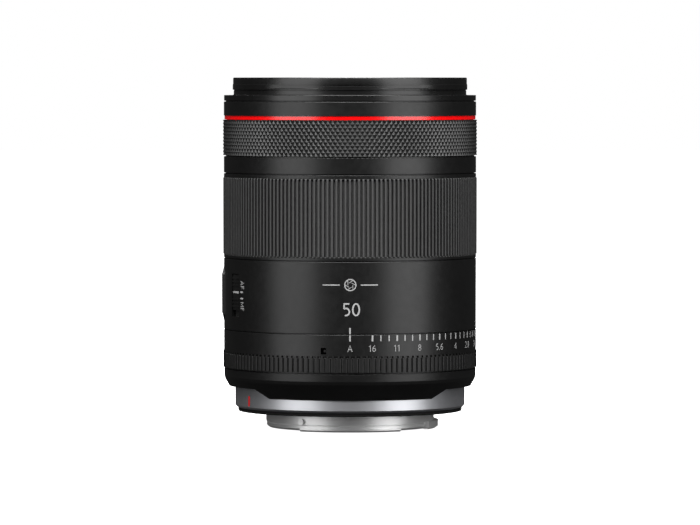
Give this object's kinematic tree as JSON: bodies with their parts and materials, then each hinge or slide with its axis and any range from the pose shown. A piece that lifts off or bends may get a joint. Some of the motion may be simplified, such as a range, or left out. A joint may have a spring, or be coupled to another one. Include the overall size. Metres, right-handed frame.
{
  "type": "prime camera lens",
  "caption": "Prime lens for a mirrorless camera: black barrel with iris, focus and control rings, red trim ring and a bayonet mount with a silver barrel ring.",
  "frame": {"origin": "on the optical axis, in the plane of the mount's flange face", "axes": "+Z along the optical axis towards the subject; -Y towards the index line, which is on top when the lens is on a camera; +X to the right of the index line, where the iris scale runs"},
  "size_m": [0.0768, 0.0764, 0.1053],
  "materials": {
    "satin_black_paint": "satin black paint on aluminium",
    "control_ring_black": "satin black, diamond knurled",
    "red_paint": "semi-gloss red paint",
    "grip_rubber": "matt ribbed rubber",
    "gasket_rubber": "smooth rubber",
    "silver_barrel": "satin silver paint",
    "mount_chrome": "fine turned chrome plate",
    "steel": "machined steel",
    "black_plastic": "matt black",
    "switch_plastic": "semi-gloss black",
    "sleeve_metal": "black anodised",
    "gold": "gold plate",
    "board_green": "solder mask",
    "flex_orange": "polyimide film",
    "glass": "coated optical glass",
    "yoke_steel": "nickel-plated steel",
    "ceramic": "ceramic and resin",
    "copper": "enamelled copper winding",
    "blade_black": "dry black lubricant coat",
    "brass": "machined brass"
  },
  "bodies": {
    "barrel": {"filter_ring": "satin_black_paint", "front_barrel": "satin_black_paint", "front_trim_ring": "black_plastic", "red_ring": "red_paint", "spacer_barrel": "satin_black_paint", "main_barrel": "satin_black_paint", "rear_barrel": "satin_black_paint", "inner_sleeve": "sleeve_metal", "mount_barrel": "silver_barrel", "mount_ring": "mount_chrome", "mount_gasket": "gasket_rubber", "mount_screws": "steel", "rear_baffle": "black_plastic", "contact_block": "black_plastic", "contact_pins": "gold", "main_board": "board_green", "flex_cable": "flex_orange", "front_group_barrel": "black_plastic", "front_element": "glass", "front_lenses": "glass", "iris_base": "black_plastic", "iris_cover": "black_plastic", "iris_motor": "steel", "rear_group_barrel": "black_plastic", "rear_lenses": "glass", "rear_element": "glass", "guide_bars": "steel", "coil_motor_yokes": "yoke_steel", "coil_motor_magnets": "steel", "piezo_motor": "ceramic", "switch_boards": "board_green", "ring_sensors": "black_plastic", "detent_spring": "steel"},
    "control_ring": {"control_ring": "control_ring_black"},
    "focus_ring": {"focus_ring": "satin_black_paint", "focus_grip": "grip_rubber"},
    "iris_ring": {"iris_ring": "satin_black_paint", "iris_grip": "grip_rubber"},
    "focus_mode_switch": {"focus_mode_knob": "switch_plastic"},
    "iris_lock_switch": {"iris_lock_knob": "switch_plastic"},
    "function_button": {"function_button": "switch_plastic"},
    "focus_unit": {"focus_holder": "black_plastic", "focus_coils": "copper", "focus_lenses": "glass"},
    "floating_unit": {"floating_holder": "black_plastic", "floating_lenses": "glass"},
    "iris_drive_ring": {"iris_drive_ring": "blade_black"},
    "iris_pinion": {"iris_pinion": "brass"},
    "iris_blade_1": {"iris_blade_1": "blade_black"},
    "iris_blade_2": {"iris_blade_2": "blade_black"},
    "iris_blade_3": {"iris_blade_3": "blade_black"},
    "iris_blade_4": {"iris_blade_4": "blade_black"},
    "iris_blade_5": {"iris_blade_5": "blade_black"},
    "iris_blade_6": {"iris_blade_6": "blade_black"},
    "iris_blade_7": {"iris_blade_7": "blade_black"},
    "iris_blade_8": {"iris_blade_8": "blade_black"},
    "iris_blade_9": {"iris_blade_9": "blade_black"},
    "iris_blade_10": {"iris_blade_10": "blade_black"},
    "iris_blade_11": {"iris_blade_11": "blade_black"}
  },
  "joints": [
    {"name": "control_ring_turn", "type": "hinge", "parent": "barrel", "child": "control_ring", "pos_m": [0, 0, 0.0812], "axis": [0, 0, 1], "continuous": true},
    {"name": "focus_ring_turn", "type": "hinge", "parent": "barrel", "child": "focus_ring", "pos_m": [0, 0, 0.0579], "axis": [0, 0, 1], "continuous": true},
    {"name": "iris_ring_turn", "type": "hinge", "parent": "barrel", "child": "iris_ring", "pos_m": [0, 0, 0.0179], "axis": [0, 0, -1], "range_deg": [0, 90.2]},
    {"name": "focus_mode_slide", "type": "slide", "parent": "barrel", "child": "focus_mode_switch", "axis": [0, 0, -1], "range_m": [0, 0.0019]},
    {"name": "iris_lock_slide", "type": "slide", "parent": "barrel", "child": "iris_lock_switch", "axis": [0, 0, -1], "range_m": [0, 0.002]},
    {"name": "function_button_press", "type": "slide", "parent": "barrel", "child": "function_button", "axis": [0.9848, -0.1736, 0], "range_m": [0, 0.0005], "stiffness_N_per_m": 1000, "springref_m": -0.0003},
    {"name": "focus_unit_slide", "type": "slide", "parent": "barrel", "child": "focus_unit", "axis": [0, 0, 1], "range_m": [0, 0.007]},
    {"name": "floating_unit_slide", "type": "slide", "parent": "barrel", "child": "floating_unit", "axis": [0, 0, 1], "range_m": [0, 0.003]},
    {"name": "iris_drive_turn", "type": "hinge", "parent": "barrel", "child": "iris_drive_ring", "pos_m": [0, 0, 0.05635], "axis": [0, 0, 1], "range_deg": [0, 16.2]},
    {"name": "iris_pinion_turn", "type": "hinge", "parent": "barrel", "child": "iris_pinion", "pos_m": [0, -0.031, 0.0563], "axis": [0, 0, 1], "range_deg": [-190, 0]},
    {"name": "iris_blade_1_swing", "type": "hinge", "parent": "barrel", "child": "iris_blade_1", "pos_m": [0.025, 0, 0.0544], "axis": [0, 0, 1], "range_deg": [0, 32.5]},
    {"name": "iris_blade_2_swing", "type": "hinge", "parent": "barrel", "child": "iris_blade_2", "pos_m": [0.02103, 0.01352, 0.0544], "axis": [0, 0, 1], "range_deg": [0, 32.5]},
    {"name": "iris_blade_3_swing", "type": "hinge", "parent": "barrel", "child": "iris_blade_3", "pos_m": [0.01039, 0.02274, 0.0544], "axis": [0, 0, 1], "range_deg": [0, 32.5]},
    {"name": "iris_blade_4_swing", "type": "hinge", "parent": "barrel", "child": "iris_blade_4", "pos_m": [-0.00356, 0.02475, 0.0544], "axis": [0, 0, 1], "range_deg": [0, 32.5]},
    {"name": "iris_blade_5_swing", "type": "hinge", "parent": "barrel", "child": "iris_blade_5", "pos_m": [-0.01637, 0.01889, 0.0544], "axis": [0, 0, 1], "range_deg": [0, 32.5]},
    {"name": "iris_blade_6_swing", "type": "hinge", "parent": "barrel", "child": "iris_blade_6", "pos_m": [-0.02399, 0.00704, 0.0544], "axis": [0, 0, 1], "range_deg": [0, 32.5]},
    {"name": "iris_blade_7_swing", "type": "hinge", "parent": "barrel", "child": "iris_blade_7", "pos_m": [-0.02399, -0.00704, 0.0544], "axis": [0, 0, 1], "range_deg": [0, 32.5]},
    {"name": "iris_blade_8_swing", "type": "hinge", "parent": "barrel", "child": "iris_blade_8", "pos_m": [-0.01637, -0.01889, 0.0544], "axis": [0, 0, 1], "range_deg": [0, 32.5]},
    {"name": "iris_blade_9_swing", "type": "hinge", "parent": "barrel", "child": "iris_blade_9", "pos_m": [-0.00356, -0.02475, 0.0544], "axis": [0, 0, 1], "range_deg": [0, 32.5]},
    {"name": "iris_blade_10_swing", "type": "hinge", "parent": "barrel", "child": "iris_blade_10", "pos_m": [0.01039, -0.02274, 0.0544], "axis": [0, 0, 1], "range_deg": [0, 32.5]},
    {"name": "iris_blade_11_swing", "type": "hinge", "parent": "barrel", "child": "iris_blade_11", "pos_m": [0.02103, -0.01352, 0.0544], "axis": [0, 0, 1], "range_deg": [0, 32.5]}
  ],
  "couplings": [
    {"joint": "iris_pinion_turn", "follows": "iris_drive_turn", "ratio": -11.4},
    {"joint": "iris_blade_1_swing", "follows": "iris_drive_turn", "ratio": 2},
    {"joint": "iris_blade_2_swing", "follows": "iris_drive_turn", "ratio": 2},
    {"joint": "iris_blade_3_swing", "follows": "iris_drive_turn", "ratio": 2},
    {"joint": "iris_blade_4_swing", "follows": "iris_drive_turn", "ratio": 2},
    {"joint": "iris_blade_5_swing", "follows": "iris_drive_turn", "ratio": 2},
    {"joint": "iris_blade_6_swing", "follows": "iris_drive_turn", "ratio": 2},
    {"joint": "iris_blade_7_swing", "follows": "iris_drive_turn", "ratio": 2},
    {"joint": "iris_blade_8_swing", "follows": "iris_drive_turn", "ratio": 2},
    {"joint": "iris_blade_9_swing", "follows": "iris_drive_turn", "ratio": 2},
    {"joint": "iris_blade_10_swing", "follows": "iris_drive_turn", "ratio": 2},
    {"joint": "iris_blade_11_swing", "follows": "iris_drive_turn", "ratio": 2}
  ]
}
